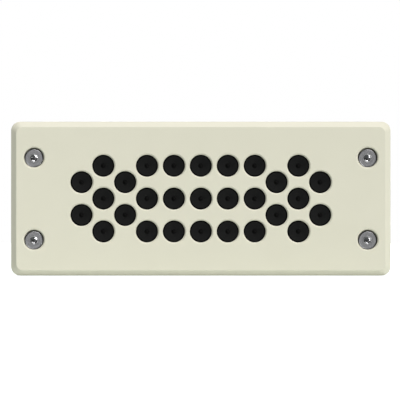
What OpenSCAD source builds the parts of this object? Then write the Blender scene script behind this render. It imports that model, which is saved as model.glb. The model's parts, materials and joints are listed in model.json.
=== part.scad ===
// Cable entry plate for the panel cut-out of a 24-pole rectangular connector: a moulded frame, a
// membrane mat behind it and four socket-head screws. Sizes are in millimetres.
// The plate stands upright: its front faces -Y, +X is to the right and +Z is up. The origin is the
// middle of the four screws, on the back face that meets the panel.

/* [Panel cut-out] */
// Width of the panel cut-out behind the plate
cutout_w = 112; // [65:1:150]
// Height of the panel cut-out behind the plate
cutout_h = 36; // [36:0.5:40]

/* [Plate] */
// Distance from the cut-out's side edge out to the screws
screw_out = 9; // [8.5:0.5:14]
// Distance from the screws out to the plate's side edge
screw_edge = 9; // [8:0.5:14]
// Distance from the cut-out's upper and lower edge out to the plate's edge
plate_over = 12; // [10:0.5:20]
// Thickness from the back face to the front face
plate_t = 9; // [8.5:0.5:12]
// Radius of the plate's outline at its corners
corner_r = 3.5; // [3:0.5:6]
// Width and depth of the 45 degree bevel round the front
front_bevel = 2.1; // [1:0.1:2.4]
// Radius of the front face at its corners, inside the bevel
face_corner_r = 2.6; // [1.5:0.1:4]
// Thickness of the wall that the membranes sit in
front_wall = 3; // [2.6:0.1:3.4]

/* [Membrane holes] */
// Diameter of one hole in the front wall
hole_d = 8.6; // [7.6:0.1:9.2]
// Bevel at the front edge of each hole
hole_break = 0.5; // [0.3:0.1:0.7]
// Distance between the columns of the middle field
column_pitch = 10.5; // [10.2:0.1:11]
// Distance between the staggered columns at each side
side_step = 8.5; // [8.2:0.1:8.9]
// Distance between the rows
row_pitch = 12.8; // [12.2:0.1:13]
// Least distance from a hole to the cut-out's side edge
field_edge = 4; // [2:0.5:6]

/* [Screws] */
// Distance between the screws up the plate
screw_dy = 32; // [30:0.5:36]
// Outer diameter of the screw thread
thread_d = 4; // [3.6:0.1:4.4]
// Diameter of the plain neck between head and thread
neck_d = 3.4; // [3:0.1:3.5]
// Length of a screw below its head
screw_len = 16; // [12:1:25]
// Diameter of a screw head
head_d = 7; // [6.6:0.1:7.4]
// Height of a screw head
head_h = 4; // [3.5:0.1:4.4]
// Hexagon socket, across its flats
socket_af = 3; // [2.5:0.1:3.4]
// Depth of the hexagon socket
socket_depth = 2; // [1.5:0.1:2.6]
// Depth of the head's top below the front face
head_sunk = 0.5; // [0.2:0.1:0.8]
// Radial gap round a head in its counterbore
head_gap = 0.35; // [0.2:0.05:0.5]
// Radial gap round a thread in its hole
thread_gap = 0.25; // [0.1:0.05:0.4]

/* [Back of the frame] */
// Outer wall round the back
rim_wall = 2.4; // [2:0.1:2.8]
// Ridge between the seal's seat and the cored channel
seat_ridge = 1.8; // [1.4:0.1:2]
// Wall round each counterbore
boss_wall = 2; // [1.6:0.1:2.6]
// Width of the web that ties a boss to the outer wall
boss_web = 6; // [4:0.5:8]
// Thickness of the ribs across the cored channel
rib_t = 1.6; // [1.2:0.1:2]
// Distance between the ribs
rib_pitch = 22; // [16:1:26]

/* [Membrane mat] */
// Thickness of the mat behind the front wall
web_t = 1.6; // [1.2:0.1:1.7]
// Thickness of the mat's side walls
tray_wall = 1.4; // [1:0.1:1.8]
// Width of the sealing flange, from the cut-out's edge outwards
flange_reach = 4.8; // [4:0.1:5]
// Thickness of the sealing flange
flange_t = 2.4; // [2:0.1:2.8]
// Radius of the half-round sealing bead
bead_r = 0.6; // [0.4:0.1:0.8]
// Inner corner radius of the mat's rear space
space_corner_r = 2.5; // [1.5:0.5:4]
// Gap between the mat and its recess
mat_gap = 0.2; // [0.1:0.05:0.3]
// Radial gap between a membrane cup and its hole
cup_gap = 0.1; // [0.05:0.05:0.2]
// Depth of a cup's lip below the front face
cup_sunk = 0.5; // [0.3:0.1:0.8]
// Width of the flat lip round each membrane
lip_w = 0.4; // [0.3:0.1:0.7]
// Wall thickness of a cup
cup_wall = 0.9; // [0.7:0.1:1.2]
// Depth of the shallow funnel from lip to middle
funnel_depth = 0.9; // [0.6:0.1:1]
// Thickness of a membrane
membrane_t = 0.8; // [0.5:0.1:1]
// Diameter of the centring pip at its foot
pip_d = 1.9; // [1.4:0.1:2.2]
// Diameter of the centring pip at its top
pip_top_d = 0.5; // [0.3:0.1:0.9]
// Height of the centring pip
pip_h = 0.8; // [0.5:0.1:1]

/* [Hidden] */
$fn = 96;
cut = 1;

// Bevel at the edge of a screw head, across and down, and at the screw's tip
head_bevel = [0.3, 0.15];
tip_break = 0.6;
// Step between the socket's flats and the round hollow in its floor, and the hollow's slope at its edge
hollow_step = 0.2;
hollow_slope = 26;

// Size of the plate and spacing of its screws, out from the cut-out
screw_dx = cutout_w + 2 * screw_out;
plate_w = screw_dx + 2 * screw_edge;
plate_h = cutout_h + 2 * plate_over;

// Heights above the back face
wall_back = plate_t - front_wall;
space_top = wall_back - web_t;
cup_top = plate_t - cup_sunk;
head_top = plate_t - head_sunk;
head_seat = head_top - head_h;
screw_tip = head_seat - screw_len;

// Outlines of the mat, each [width, height, corner radius]
space = [cutout_w, cutout_h, space_corner_r];
tray = grown(space, tray_wall);
flange = grown(space, flange_reach);
bead_path = grown(space, flange_reach - (flange_reach - tray_wall) / 2);

// Radii
hole_r = hole_d / 2;
cup_r = hole_r - cup_gap;
lip_r = cup_r - lip_w;
pocket_r = cup_r - cup_wall;
pip_r = pip_d / 2;
counterbore_r = head_d / 2 + head_gap;
boss_r = counterbore_r + boss_wall;
funnel_slope = funnel_depth / (lip_r - pip_r);

// Middles of the membrane holes: a regular field, as wide as the cut-out lets it be, with a staggered
// block at each side of it
side_columns = 3;
field_room = cutout_w / 2 - field_edge - hole_r - side_columns * side_step;
field_half = max(0, floor(field_room / column_pitch));
hole_places = concat(
    [for (i = [-field_half:field_half], j = [-1:1]) [i * column_pitch, j * row_pitch]],
    [for (side = [-1, 1], k = [1, 3], j = [-0.5, 0.5]) [side_x(side, k), j * row_pitch]],
    [for (side = [-1, 1], j = [-1:1]) [side_x(side, 2), j * row_pitch]]
);
screw_places = [for (i = [-0.5, 0.5], j = [-0.5, 0.5]) [i * screw_dx, j * screw_dy]];

// Until the plate is mounted, its screws rest low in their clearance holes, so it stands higher
// than they do by most of that clearance
plate_raised = 0.9 * min(thread_gap, head_gap);

// Quadrants of a rounded outline: the signs of the corner and the turn of its arc
QUADRANTS = [[1, 1, 0], [-1, 1, 90], [-1, -1, 180], [1, -1, 270]];

function side_x(side, k) = side * (field_half * column_pitch + k * side_step);
function grown(outline, by) = [outline[0] + 2 * by, outline[1] + 2 * by, outline[2] + by];
function corner_x(outline) = outline[0] / 2 - outline[2];
function corner_y(outline) = outline[1] / 2 - outline[2];

// Pieces are drawn lying on their back, front up, and then stood up at some height
module stand_up(raised = 0) {
    translate([0, 0, raised])
        rotate([90, 0, 0])
            children();
}

// Rounded rectangle, from [width, height, corner radius]
module rounded(outline) {
    square([outline[0] - 2 * outline[2], outline[1]], center = true);
    square([outline[0], outline[1] - 2 * outline[2]], center = true);
    for (q = QUADRANTS)
        translate([q[0] * corner_x(outline), q[1] * corner_y(outline)])
            circle(outline[2]);
}

// Slab of a rounded outline between two heights
module slab(outline, bottom, top) {
    translate([0, 0, bottom])
        linear_extrude(top - bottom)
            rounded(outline);
}

// Section of the bevel's slopes: 45 degrees down from the front face
function slope_section(half) =
    [[-half - plate_t, 0], [half + plate_t, 0], [half, plate_t], [-half, plate_t]];

// Everything under the four slopes of the bevel and the cones that join them at the corners
module bevel_envelope() {
    face = [plate_w - 2 * front_bevel, plate_h - 2 * front_bevel, face_corner_r];
    rotate([90, 0, 90])
        linear_extrude(2 * corner_x(face), center = true)
            polygon(slope_section(face[1] / 2));
    rotate([90, 0, 0])
        linear_extrude(2 * corner_y(face), center = true)
            polygon(slope_section(face[0] / 2));
    for (q = QUADRANTS)
        translate([q[0] * corner_x(face), q[1] * corner_y(face), 0])
            rotate(q[2])
                rotate_extrude(angle = 90)
                    polygon([[0, 0], [face_corner_r + plate_t, 0], [face_corner_r, plate_t], [0, plate_t]]);
}

module plate_blank() {
    intersection() {
        slab([plate_w, plate_h, corner_r], 0, plate_t);
        bevel_envelope();
    }
}

// Cored channel round the back, between the outer wall and the seal's seat, crossed by ribs
module back_core() {
    seat = grown(flange, mat_gap + seat_ridge);
    inner = grown([plate_w, plate_h, max(corner_r, rim_wall + 1)], -rim_wall);
    rib_reach = floor(cutout_w / 2 / rib_pitch);
    translate([0, 0, -cut])
        linear_extrude(wall_back + cut)
            difference() {
                rounded(inner);
                rounded(seat);
                for (p = screw_places)
                    translate(p) {
                        circle(boss_r);
                        translate([p[0] > 0 ? 0 : -plate_w, -boss_web / 2])
                            square([plate_w, boss_web]);
                    }
                for (i = [-rib_reach:rib_reach])
                    translate([i * rib_pitch, 0])
                        square([rib_t, plate_h], center = true);
                square([plate_w, rib_t], center = true);
            }
}

// Hole for one membrane cup, with a bevelled front edge
module membrane_hole() {
    translate([0, 0, wall_back - cut])
        cylinder(h = front_wall + 2 * cut, r = hole_r);
    translate([0, 0, plate_t - hole_break])
        cylinder(h = hole_break + cut, r1 = hole_r, r2 = hole_r + hole_break + cut);
}

// Counterbored hole for one screw, with a bevelled front edge
module screw_hole() {
    translate([0, 0, -cut])
        cylinder(h = plate_t, r = thread_d / 2 + thread_gap);
    translate([0, 0, head_seat])
        cylinder(h = plate_t, r = counterbore_r);
    translate([0, 0, plate_t - hole_break])
        cylinder(h = hole_break + cut, r1 = counterbore_r, r2 = counterbore_r + hole_break + cut);
}

// Frame: bevelled plate with a stepped recess for the mat and a ribbed, cored back
module frame_plate() {
    color([0.87, 0.855, 0.78])
        stand_up(plate_raised)
            difference() {
                plate_blank();
                slab(grown(tray, mat_gap), -cut, wall_back);
                slab(grown(flange, mat_gap), -cut, flange_t);
                back_core();
                for (p = hole_places)
                    translate(p)
                        membrane_hole();
                for (p = screw_places)
                    translate(p)
                        screw_hole();
            }
}

// Front of one membrane: lip, shallow funnel and the centring pip left standing in its middle
module funnel_cut() {
    floor_z = cup_top - funnel_depth;
    rotate_extrude()
        polygon([
            [0, cup_top + cut],
            [lip_r, cup_top + cut],
            [lip_r, cup_top],
            [pip_r, floor_z],
            [pip_top_d / 2, floor_z + pip_h],
            [0, floor_z + pip_h]
        ]);
}

// Pocket behind one membrane, which follows the funnel at the membrane's thickness
module pocket_cut() {
    edge_z = cup_top - (lip_r - pocket_r) * funnel_slope - membrane_t;
    rotate_extrude()
        polygon([
            [0, space_top - cut],
            [pocket_r, space_top - cut],
            [pocket_r, edge_z],
            [pip_r, cup_top - funnel_depth - membrane_t],
            [0, cup_top - funnel_depth - membrane_t]
        ]);
}

// Half-round bead along the flange, which the panel squeezes
module sealing_bead() {
    for (q = QUADRANTS)
        translate([q[0] * corner_x(bead_path), q[1] * corner_y(bead_path), 0])
            rotate(q[2])
                rotate_extrude(angle = 90)
                    translate([bead_path[2], 0])
                        circle(bead_r);
    for (side = [-0.5, 0.5]) {
        translate([0, side * bead_path[1], 0])
            rotate([0, 90, 0])
                cylinder(h = 2 * corner_x(bead_path), r = bead_r, center = true);
        translate([side * bead_path[0], 0, 0])
            rotate([90, 0, 0])
                cylinder(h = 2 * corner_y(bead_path), r = bead_r, center = true);
    }
}

// Mat: one elastomer moulding with a membrane cup in each hole and a sealing flange at the back
module membrane_mat() {
    color([0.12, 0.12, 0.115])
        stand_up(plate_raised)
            difference() {
                union() {
                    slab(tray, 0, wall_back);
                    slab(flange, 0, flange_t);
                    sealing_bead();
                    for (p = hole_places)
                        translate([p[0], p[1], space_top])
                            cylinder(h = cup_top - space_top, r = cup_r);
                }
                slab(space, -cut - bead_r, space_top);
                for (p = hole_places)
                    translate(p) {
                        funnel_cut();
                        pocket_cut();
                    }
            }
}

// Round hollow in the floor of a screw's socket, a cap of a sphere
module socket_hollow() {
    hollow_r = socket_af / 2 - hollow_step;
    sphere_r = hollow_r / sin(hollow_slope);
    intersection() {
        translate([0, 0, sphere_r * cos(hollow_slope)])
            sphere(sphere_r);
        translate([0, 0, -sphere_r])
            cylinder(h = sphere_r, r = hollow_r);
    }
}

// One screw, turned in one piece, with its hexagon socket
module screw() {
    socket_r = socket_af / 2 / cos(30);
    thread_r = thread_d / 2;
    neck_r = neck_d / 2;
    difference() {
        rotate_extrude()
            polygon([
                [0, head_top],
                [head_d / 2 - head_bevel[0], head_top],
                [head_d / 2, head_top - head_bevel[1]],
                [head_d / 2, head_seat],
                [neck_r, head_seat],
                [neck_r, 0],
                [thread_r, neck_r - thread_r],
                [thread_r, screw_tip + tip_break],
                [thread_r - tip_break, screw_tip],
                [0, screw_tip]
            ]);
        translate([0, 0, head_top - socket_depth])
            rotate(30)
                cylinder(h = socket_depth + cut, r = socket_r, $fn = 6);
        translate([0, 0, head_top - socket_depth])
            socket_hollow();
    }
}

module screws() {
    color([0.62, 0.62, 0.61])
        stand_up()
            for (p = screw_places)
                translate(p)
                    screw();
}

frame_plate();
membrane_mat();
screws();
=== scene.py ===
# %% [markdown]
# # A cable entry plate
# The plate closes a cut-out in a cabinet wall and seals the cables that are pushed through it. It is
# three things: a hard cream frame, one soft black mat whose membranes fill the frame's holes, and
# four socket-head screws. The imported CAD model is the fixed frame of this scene. Each piece below is
# built again at the same place and size, with the soft edges and finishes that plain solids lack.

# %% Load the frame
import json
import math

import bmesh
import bpy
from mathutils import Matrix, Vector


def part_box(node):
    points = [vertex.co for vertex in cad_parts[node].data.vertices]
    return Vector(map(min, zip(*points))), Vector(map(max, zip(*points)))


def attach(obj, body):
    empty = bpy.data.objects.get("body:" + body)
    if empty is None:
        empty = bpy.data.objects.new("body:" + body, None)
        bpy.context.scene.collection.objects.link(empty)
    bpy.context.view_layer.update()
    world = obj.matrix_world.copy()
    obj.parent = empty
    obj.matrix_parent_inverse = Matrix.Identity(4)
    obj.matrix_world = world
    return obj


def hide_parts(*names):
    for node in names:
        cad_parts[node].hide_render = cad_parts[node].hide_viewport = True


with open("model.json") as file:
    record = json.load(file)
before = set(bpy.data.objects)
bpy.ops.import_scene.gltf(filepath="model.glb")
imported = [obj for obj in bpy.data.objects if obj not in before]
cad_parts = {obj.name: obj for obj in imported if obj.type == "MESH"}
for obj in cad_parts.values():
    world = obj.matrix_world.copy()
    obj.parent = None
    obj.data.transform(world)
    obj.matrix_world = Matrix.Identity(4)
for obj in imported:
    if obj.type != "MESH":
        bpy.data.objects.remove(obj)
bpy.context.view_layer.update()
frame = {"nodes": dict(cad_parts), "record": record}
MM = 0.001
print("nodes in the frame:", sorted(frame["nodes"]))

# %% [markdown]
# ## Sizes
# Outer sizes are read from the frame, so that a piece can't drift from its solid. What a box can't
# tell, such as the width of a bevel, is written here once, in millimetres. The front faces -Y, so a
# depth is a y value, and the outlines lie in x and z. The origin lies between the four screws, which
# rest low in their holes, so the plate stands a little higher than the origin. Its pieces are drawn
# round the origin, where they mirror easily, and raised to their place at the end.

# %% Sizes of the frame plate
plate_low, plate_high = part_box("frame_plate")
FRONT = plate_low[1]
BACK = plate_high[1]
PLATE = (plate_high[0] - plate_low[0], plate_high[2] - plate_low[2])
RAISED = (plate_low[2] + plate_high[2]) / 2
CORNER_R = 3.5 * MM
FACE_CORNER_R = 2.6 * MM
FRONT_BEVEL = 2.1 * MM
FRONT_WALL = 3.0 * MM
WALL_BACK = FRONT + FRONT_WALL
HOLE_R = 4.3 * MM
HOLE_BREAK = 0.5 * MM
print("plate in mm:", [round(side / MM, 2) for side in PLATE], "raised by", round(RAISED / MM, 3))

# %% [markdown]
# The holes stand in columns: five columns of three in the middle, and at each end three closer ones,
# of which the first and the last are shifted by half a row. The spacing of the screws comes from the
# mount in the record, because the panel's holes have to match it.

# %% Places of the holes and screws
COLUMN_PITCH = 10.5 * MM
SIDE_STEP = 8.5 * MM
ROW_PITCH = 12.8 * MM
HALF_FIELD = 2
middle_columns = [
    (i * COLUMN_PITCH, j * ROW_PITCH) for i in range(-HALF_FIELD, HALF_FIELD + 1) for j in (-1, 0, 1)
]
end_columns = [
    (side * (HALF_FIELD * COLUMN_PITCH + k * SIDE_STEP), j * ROW_PITCH)
    for side in (-1, 1)
    for k, rows in ((1, (-0.5, 0.5)), (2, (-1, 0, 1)), (3, (-0.5, 0.5)))
    for j in rows
]
HOLE_PLACES = middle_columns + end_columns
pattern = frame["record"]["mounts"][0]["dims"]
SCREW_X = pattern["spacing_x_mm"] / 2 * MM
SCREW_Z = pattern["spacing_y_mm"] / 2 * MM
QUARTERS = [(i, j) for i in (-1, 1) for j in (-1, 1)]
SCREW_PLACES = [(i * SCREW_X, j * SCREW_Z) for i, j in QUARTERS]
print(len(HOLE_PLACES), "holes and", len(SCREW_PLACES), "screws")

# %% [markdown]
# The mat is pushed into the frame from behind. Its tray fills the recess behind the front wall, a
# flange lies in a seat in the back, and in every hole a cup ends just below the front face. A small
# gap all round lets the soft piece go in.

# %% Sizes of the mat
mat_low, mat_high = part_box("membrane_mat")
SPACE = (112 * MM, 36 * MM)
SPACE_CORNER_R = 2.5 * MM
TRAY_WALL = 1.4 * MM
FLANGE_REACH = 4.8 * MM
MAT_GAP = 0.2 * MM
FLANGE_T = 2.4 * MM
SHEET_T = 1.6 * MM
FLANGE_FRONT = BACK - FLANGE_T
SPACE_FRONT = WALL_BACK + SHEET_T
CUP_FRONT = mat_low[1]
BEAD_R = mat_high[1] - BACK
CUP_R = 4.2 * MM
LIP_R = 3.8 * MM
POCKET_R = 3.3 * MM
FUNNEL_DEPTH = 0.9 * MM
MEMBRANE_T = 0.8 * MM
PIP_R = 0.95 * MM
PIP_TOP_R = 0.25 * MM
PIP_H = 0.8 * MM
print("membranes lie", round((CUP_FRONT - FRONT) / MM, 2), "mm below the front face")

# %% [markdown]
# The screws have the common sizes of an M4 socket-head screw: a head 7 mm wide and 4 mm high, with a
# hexagon of 3 mm across its flats. The head lies in a counterbore that is a little wider.

# %% Sizes of a screw
screw_low, screw_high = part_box("screws")
HEAD_FRONT = screw_low[1]
SCREW_TIP = screw_high[1]
HEAD_R = screw_high[0] - SCREW_X
HEAD_H = 4.0 * MM
HEAD_GAP = 0.35 * MM
HEAD_SEAT = HEAD_FRONT + HEAD_H
COUNTERBORE_R = HEAD_R + HEAD_GAP
THREAD_R = 2.0 * MM
NECK_R = 1.7 * MM
THREAD_HOLE_R = 2.25 * MM
SOCKET_AF = 3.0 * MM
SOCKET_DEPTH = 2.0 * MM
print("screw head in mm:", round(2 * HEAD_R / MM, 2), "wide")

# %% [markdown]
# ## Lines and arcs
# Every outline and section below is a list of points in a plane, made of straight lines and arcs.
# Blender has curve objects for that, but their points would have to be read back before they could
# be swept or filled. A few plain functions do it directly.

# %% Lines and arcs in a plane
def dot(a, b):
    return a[0] * b[0] + a[1] * b[1]


def direction(start, end):
    """The unit vector from one point to another."""
    dx, dy = end[0] - start[0], end[1] - start[1]
    length = math.hypot(dx, dy)
    return dx / length, dy / length


def along(point, way, distance):
    return point[0] + way[0] * distance, point[1] + way[1] * distance


def angle_of(centre, point):
    return math.atan2(point[1] - centre[1], point[0] - centre[0])


def on_circle(centre, radius, angles):
    return [(centre[0] + radius * math.cos(a), centre[1] + radius * math.sin(a)) for a in angles]


def arc_between(centre, start, end, steps):
    """Points of the shorter arc from start to end."""
    first = angle_of(centre, start)
    turn = math.remainder(angle_of(centre, end) - first, 2 * math.pi)
    angles = [first + turn * k / steps for k in range(steps + 1)]
    return on_circle(centre, math.dist(centre, start), angles)


def arc_points(centre, radius, first, last, steps=10):
    """Points of an arc between two angles in degrees."""
    angles = [math.radians(first + (last - first) * k / steps) for k in range(steps + 1)]
    return on_circle(centre, radius, angles)


print("an arc of ten steps has", len(arc_points((0, 0), 1, 0, 90)), "points")

# %% [markdown]
# ## Section lines with soft corners
# No moulded or turned edge is perfectly sharp: a small radius catches a thin line of light. A bevel
# modifier could add it, but it stumbles where many holes cut one flat face. So each piece is drawn as
# a section line first, its corners are rounded there, and the line is then swept or turned. Two extra
# points close to each rounding keep the flats between them flat when the mesh is shaded smooth.

# %% A section line with rounded corners
ROUND_STEPS = 3
HOLD = 0.05 * MM
SHORTEST_HELD = 6 * HOLD


def softened(corners, radii):
    """Points of a section line through the corners, with each inner corner rounded by its radius."""
    line = [corners[0]]
    for before, at, after, radius in zip(corners, corners[1:], corners[2:], radii):
        if radius <= 0:
            line.append(at)
            continue
        to_before = direction(at, before)
        to_after = direction(at, after)
        half = math.acos(max(-1.0, min(1.0, dot(to_before, to_after)))) / 2
        reach = radius / math.tan(half)
        bisector = direction((0, 0), (to_before[0] + to_after[0], to_before[1] + to_after[1]))
        centre = along(at, bisector, radius / math.sin(half))
        first, last = along(at, to_before, reach), along(at, to_after, reach)
        line += arc_between(centre, first, last, ROUND_STEPS)
    line.append(corners[-1])
    return with_holds(line)


def with_holds(line):
    """The same line with a point close to each end of every straight stretch."""
    held = [line[0]]
    for start, end in zip(line, line[1:]):
        if math.dist(start, end) > SHORTEST_HELD:
            way = direction(start, end)
            held += [along(start, way, HOLD), along(end, way, -HOLD)]
        held.append(end)
    return held


print("edges are rounded in", ROUND_STEPS, "steps")

# %% [markdown]
# ## Rings, skins and flats
# Every surface here is one of three kinds. A ring is a closed loop of points at one depth, a skin is
# the band of faces between two rings, and a flat is a level face with holes in it, which Blender's
# scan fill makes from the rings that bound it.

# %% Rings, skins and flats
CORNER_STEPS = 12
AROUND = 64


def rounded_outline(size, corner_r):
    """Points of a rounded rectangle in x and z."""
    points = []
    for quarter, (sx, sz) in enumerate(((1, 1), (-1, 1), (-1, -1), (1, -1))):
        centre = (sx * (size[0] / 2 - corner_r), sz * (size[1] / 2 - corner_r))
        points += arc_points(centre, corner_r, 90 * quarter, 90 * quarter + 90, CORNER_STEPS)
    return points


def circle_outline(centre, radius, steps=AROUND):
    return on_circle(centre, radius, [2 * math.pi * k / steps for k in range(steps)])


def neighbours(loop):
    """Each item of a closed loop with the next one."""
    return zip(loop, loop[1:] + loop[:1])


def ring(mesh, outline, depth):
    """A closed loop of new points and edges at one depth."""
    verts = [mesh.verts.new((x, depth, z)) for x, z in outline]
    for a, b in neighbours(verts):
        mesh.edges.new((a, b))
    return verts


def skin(mesh, rings):
    """Bands of faces between neighbouring rings of equal count."""
    for low, high in zip(rings, rings[1:]):
        count = len(low)
        for k in range(count):
            after = (k + 1) % count
            mesh.faces.new((low[k], low[after], high[after], high[k]))


def flat(mesh, *rings):
    """A level face bounded by the first ring, with the other rings as its holes."""
    edges = [mesh.edges.get((a, b)) for loop in rings for a, b in neighbours(loop)]
    bmesh.ops.triangle_fill(mesh, use_beauty=True, edges=edges)


print("corners have", CORNER_STEPS, "steps and circles", AROUND)

# %% [markdown]
# A hole, a membrane and a screw head are turned shapes: one section line spun round an axis. Blender
# can spin a line, but then leaves doubled points at the seam and at the pole. Turning the section
# into rings closes both from the start.

# %% Turned shapes and new pieces
def turned(mesh, section, steps=AROUND):
    """Turns a section of (radius, depth) points round the y axis. A last radius of 0 is a pole."""
    rings = [ring(mesh, circle_outline((0, 0), r, steps), y) for r, y in section if r > 0]
    skin(mesh, rings)
    if section[-1][0] == 0:
        pole = mesh.verts.new((0, section[-1][1], 0))
        for a, b in neighbours(rings[-1]):
            mesh.faces.new((a, b, pole))
    return rings


def new_piece(name, mesh):
    """A scene object that owns a finished bmesh."""
    data = bpy.data.meshes.new(name)
    mesh.to_mesh(data)
    mesh.free()
    piece = bpy.data.objects.new(name, data)
    bpy.context.scene.collection.objects.link(piece)
    return piece


def turned_piece(name, section):
    mesh = bmesh.new()
    turned(mesh, section)
    return new_piece(name, mesh)


def points_piece(name, places):
    """An object of bare points, for setting shapes on."""
    mesh = bmesh.new()
    for x, z in places:
        mesh.verts.new((x, 0, z))
    return new_piece(name, mesh)


hole_points = points_piece("hole_points", HOLE_PLACES)
screw_points = points_piece("screw_points", SCREW_PLACES)
print("places:", len(hole_points.data.vertices), "and", len(screw_points.data.vertices))

# %% [markdown]
# ## Sums in a node tree
# Materials and geometry trees both work with numbers, mostly one sum or one change of range at a
# time. Placing and linking each node by hand would bury the idea. These helpers place a node, set the
# plain numbers on it, link the rest and hand back its output.

# %% Sums, ranges and tones in a node tree
def feed(tree, value, socket):
    """Links another node's output to the socket, or sets a plain number or colour on it."""
    if isinstance(value, bpy.types.NodeSocket):
        tree.links.new(value, socket)
    else:
        socket.default_value = value


def calculated(tree, operation, *values, clamp=False):
    node = tree.nodes.new("ShaderNodeMath")
    node.operation = operation
    node.use_clamp = clamp
    for value, socket in zip(values, node.inputs):
        feed(tree, value, socket)
    return node.outputs[0]


def rescaled(tree, value, low, high, start=0.0, end=1.0):
    """The value carried from the range start to end over to low to high, and held at its ends."""
    node = tree.nodes.new("ShaderNodeMapRange")
    ends = (("From Min", start), ("From Max", end), ("To Min", low), ("To Max", high))
    for name, number in (("Value", value), *ends):
        feed(tree, number, node.inputs[name])
    return node.outputs["Result"]


def blended(tree, factor, first, second):
    """A tone between two tones."""
    node = tree.nodes.new("ShaderNodeMix")
    node.data_type = "RGBA"
    for name, value in (("Factor", factor), ("A", first), ("B", second)):
        feed(tree, value, node.inputs[name])
    return node.outputs["Result"]


print("node helpers:", [helper.__name__ for helper in (calculated, rescaled, blended)])

# %% [markdown]
# The finishes below share four more steps: a random pattern, a fine relief, the piece's own mark and
# a new material with its shader. The mark is a number that a piece keeps at each point of its mesh,
# and says where a finish changes and where painted shade lies.

# %% Patterns, relief and marks
RELIEF_DEPTH = 0.02 * MM


def noise(tree, place, scale, detail, dimensions="3D"):
    """Soft random values, all through space or along one line."""
    node = tree.nodes.new("ShaderNodeTexNoise")
    node.noise_dimensions = dimensions
    feed(tree, scale, node.inputs["Scale"])
    feed(tree, detail, node.inputs["Detail"])
    feed(tree, place, node.inputs["W" if dimensions == "1D" else "Vector"])
    return node.outputs["Fac"]


def relief(tree, height, strength):
    node = tree.nodes.new("ShaderNodeBump")
    node.inputs["Distance"].default_value = RELIEF_DEPTH
    feed(tree, height, node.inputs["Height"])
    feed(tree, strength, node.inputs["Strength"])
    return node.outputs["Normal"]


def mark_of(tree):
    node = tree.nodes.new("ShaderNodeAttribute")
    node.attribute_name = "mark"
    return node.outputs["Fac"]


def new_material(name):
    """A material, its node tree and the inputs of its shader."""
    material = bpy.data.materials.new(name)
    material.use_nodes = True
    return material, material.node_tree, material.node_tree.nodes["Principled BSDF"].inputs


print("relief is at most", RELIEF_DEPTH / MM, "mm deep")

# %% [markdown]
# ## A grain for moulded surfaces
# Both moulded materials carry the fine grain of their tool, a spark-eroded matt texture, and a faint
# unevenness of tone over some millimetres. Image textures could show it, but a node group stays sharp
# at any distance, and one group serves both materials with their own sizes.

# %% Shader group for the moulded grain
GRAIN_INPUTS = ("Grain per metre", "Cloud per metre")
PIT_SOFTNESS = 0.6
PIT_SHARE = 0.6
FUZZ_DETAIL = 3
CLOUD_DETAIL = 4


def moulded_grain_group():
    tree = bpy.data.node_groups.new("moulded_grain", "ShaderNodeTree")
    for name in GRAIN_INPUTS:
        tree.interface.new_socket(name, in_out="INPUT", socket_type="NodeSocketFloat")
    for name in ("Height", "Cloud"):
        tree.interface.new_socket(name, in_out="OUTPUT", socket_type="NodeSocketFloat")
    size = tree.nodes.new("NodeGroupInput").outputs
    result = tree.nodes.new("NodeGroupOutput").inputs
    place = tree.nodes.new("ShaderNodeTexCoord").outputs["Object"]
    pits = tree.nodes.new("ShaderNodeTexVoronoi")
    pits.feature = "SMOOTH_F1"
    pits.inputs["Smoothness"].default_value = PIT_SOFTNESS
    feed(tree, place, pits.inputs["Vector"])
    feed(tree, size["Grain per metre"], pits.inputs["Scale"])
    fuzz = noise(tree, place, size["Grain per metre"], FUZZ_DETAIL)
    height = calculated(tree, "MULTIPLY_ADD", pits.outputs["Distance"], PIT_SHARE, fuzz)
    feed(tree, height, result["Height"])
    feed(tree, noise(tree, place, size["Cloud per metre"], CLOUD_DETAIL), result["Cloud"])
    return tree


moulded_grain = moulded_grain_group()
print("shader group:", moulded_grain.name)

# %% [markdown]
# ## Finishes of the moulded pieces
# The frame is a cream polyamide, nearly matt. Its colour drifts by a shade or so, as filled plastics
# do, and the grain breaks its gloss. The mat is a black elastomer. The rim of each membrane is painted
# near black and its pip half as dark: this is painted shade, and the mark says where. The membranes are
# matt and bare rubber has a faint sheen. An exported model can't carry a specular level that follows
# a mark, so the two are materials of their own.

# %% Cream plastic and black elastomer
GLOSS_DRIFT = 0.06


def moulded_material(name, tones, roughness, specular, sizes, bump, unmarked=None):
    """A moulded surface between two tones, with the shared grain as relief and as uneven gloss.

    A tone for unmarked places, here a painted shade, makes the piece's own mark show where the others
    lie.
    """
    material, tree, shader = new_material(name)
    shader["Specular IOR Level"].default_value = specular
    grain = tree.nodes.new("ShaderNodeGroup")
    grain.node_tree = moulded_grain
    for size_name, size in zip(GRAIN_INPUTS, sizes):
        grain.inputs[size_name].default_value = size
    colour = blended(tree, grain.outputs["Cloud"], *tones)
    if unmarked:
        colour = blended(tree, mark_of(tree), unmarked, colour)
    height = grain.outputs["Height"]
    gloss = rescaled(tree, height, roughness - GLOSS_DRIFT, roughness + GLOSS_DRIFT)
    feed(tree, colour, shader["Base Color"])
    feed(tree, gloss, shader["Roughness"])
    feed(tree, relief(tree, height, bump), shader["Normal"])
    return material


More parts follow.
